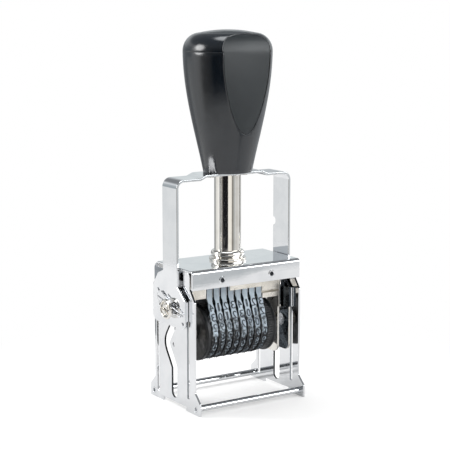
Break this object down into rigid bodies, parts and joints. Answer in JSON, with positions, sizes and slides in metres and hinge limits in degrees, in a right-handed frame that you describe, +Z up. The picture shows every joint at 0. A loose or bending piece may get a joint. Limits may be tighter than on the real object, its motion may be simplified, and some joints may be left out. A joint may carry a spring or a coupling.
{
  "type": "numbering machine",
  "caption": "Self-inking numbering machine: a plastic handle on a sheet-metal yoke slides on a stem tube in a plated frame and flips a unit of rubber number bands.",
  "frame": {"origin": "centre of the footprint at the level of the feet, under the stem tube's axis", "axes": "+Z up along the stem tube; -Y is the front, where the number bands are set; +X to the right seen from the front"},
  "size_m": [0.0708, 0.0452, 0.1768],
  "materials": {
    "plated_steel": "bright nickel-chrome plate",
    "nickel_plate": "warm nickel plate",
    "spring_steel": "drawn wire and plain steel",
    "handle_plastic": "glossy black",
    "panel_plastic": "satin dark grey",
    "wheel_plastic": "black, inked",
    "band_rubber": "light blue-grey, inked where it prints",
    "tray_plastic": "black",
    "ink_felt": "black ink-soaked felt"
  },
  "bodies": {
    "frame": {"left_side_plate": "plated_steel", "right_side_plate": "plated_steel", "cover": "plated_steel", "cover_screws": "nickel_plate", "tray_stop": "nickel_plate", "front_cross_rod": "plated_steel", "back_cross_rod": "plated_steel", "left_tray_rail": "spring_steel", "right_tray_rail": "spring_steel", "stem_bush": "spring_steel", "stem_tube": "nickel_plate", "stem_collar": "nickel_plate", "return_spring": "spring_steel"},
    "pad_tray": {"pad_tray": "tray_plastic", "ink_pad": "ink_felt"},
    "plunger": {"handle_body": "handle_plastic", "handle_crown": "handle_plastic", "handle_top_disc": "handle_plastic", "handle_front_panel": "panel_plastic", "guide_rod": "spring_steel", "yoke": "plated_steel", "yoke_screws": "nickel_plate", "yoke_rivets": "spring_steel", "left_carrier": "nickel_plate", "right_carrier": "nickel_plate", "pivot_pins": "nickel_plate", "spring_posts": "nickel_plate", "torsion_springs": "spring_steel"},
    "number_unit": {"left_cheek": "nickel_plate", "right_cheek": "nickel_plate", "print_bridge": "nickel_plate", "bridge_screws": "spring_steel", "index_block": "nickel_plate", "guide_pins": "nickel_plate", "wheel_shaft": "spring_steel", "shaft_spacers": "nickel_plate", "end_disc": "wheel_plastic", "end_drum": "wheel_plastic", "band_1": "band_rubber", "band_2": "band_rubber", "band_3": "band_rubber", "band_4": "band_rubber", "band_5": "band_rubber", "band_6": "band_rubber", "band_7": "band_rubber", "band_8": "band_rubber"},
    "number_wheel_1": {"setting_wheel_1": "wheel_plastic"},
    "number_wheel_2": {"setting_wheel_2": "wheel_plastic"},
    "number_wheel_3": {"setting_wheel_3": "wheel_plastic"},
    "number_wheel_4": {"setting_wheel_4": "wheel_plastic"},
    "number_wheel_5": {"setting_wheel_5": "wheel_plastic"},
    "number_wheel_6": {"setting_wheel_6": "wheel_plastic"},
    "number_wheel_7": {"setting_wheel_7": "wheel_plastic"},
    "number_wheel_8": {"setting_wheel_8": "wheel_plastic"}
  },
  "joints": [
    {"name": "plunger_slide", "type": "slide", "parent": "frame", "child": "plunger", "axis": [0, 0, -1], "range_m": [0, 0.0355], "stiffness_N_per_m": 500, "springref_m": -0.012, "deforming": ["return_spring"]},
    {"name": "unit_flip", "type": "hinge", "parent": "plunger", "child": "number_unit", "pos_m": [0, 0, 0.0475], "axis": [1, 0, 0], "range_deg": [0, 180]},
    {"name": "pad_tray_slide", "type": "slide", "parent": "frame", "child": "pad_tray", "axis": [0, 1, 0], "range_m": [0, 0.022]},
    {"name": "wheel_1_spin", "type": "hinge", "parent": "number_unit", "child": "number_wheel_1", "pos_m": [0, 0, 0.0343], "axis": [1, 0, 0], "continuous": true},
    {"name": "wheel_2_spin", "type": "hinge", "parent": "number_unit", "child": "number_wheel_2", "pos_m": [0, 0, 0.0343], "axis": [1, 0, 0], "continuous": true},
    {"name": "wheel_3_spin", "type": "hinge", "parent": "number_unit", "child": "number_wheel_3", "pos_m": [0, 0, 0.0343], "axis": [1, 0, 0], "continuous": true},
    {"name": "wheel_4_spin", "type": "hinge", "parent": "number_unit", "child": "number_wheel_4", "pos_m": [0, 0, 0.0343], "axis": [1, 0, 0], "continuous": true},
    {"name": "wheel_5_spin", "type": "hinge", "parent": "number_unit", "child": "number_wheel_5", "pos_m": [0, 0, 0.0343], "axis": [1, 0, 0], "continuous": true},
    {"name": "wheel_6_spin", "type": "hinge", "parent": "number_unit", "child": "number_wheel_6", "pos_m": [0, 0, 0.0343], "axis": [1, 0, 0], "continuous": true},
    {"name": "wheel_7_spin", "type": "hinge", "parent": "number_unit", "child": "number_wheel_7", "pos_m": [0, 0, 0.0343], "axis": [1, 0, 0], "continuous": true},
    {"name": "wheel_8_spin", "type": "hinge", "parent": "number_unit", "child": "number_wheel_8", "pos_m": [0, 0, 0.0343], "axis": [1, 0, 0], "continuous": true}
  ],
  "couplings": [
    {"joint": "unit_flip", "follows": "plunger_slide", "rad_per_m": 88.496}
  ]
}
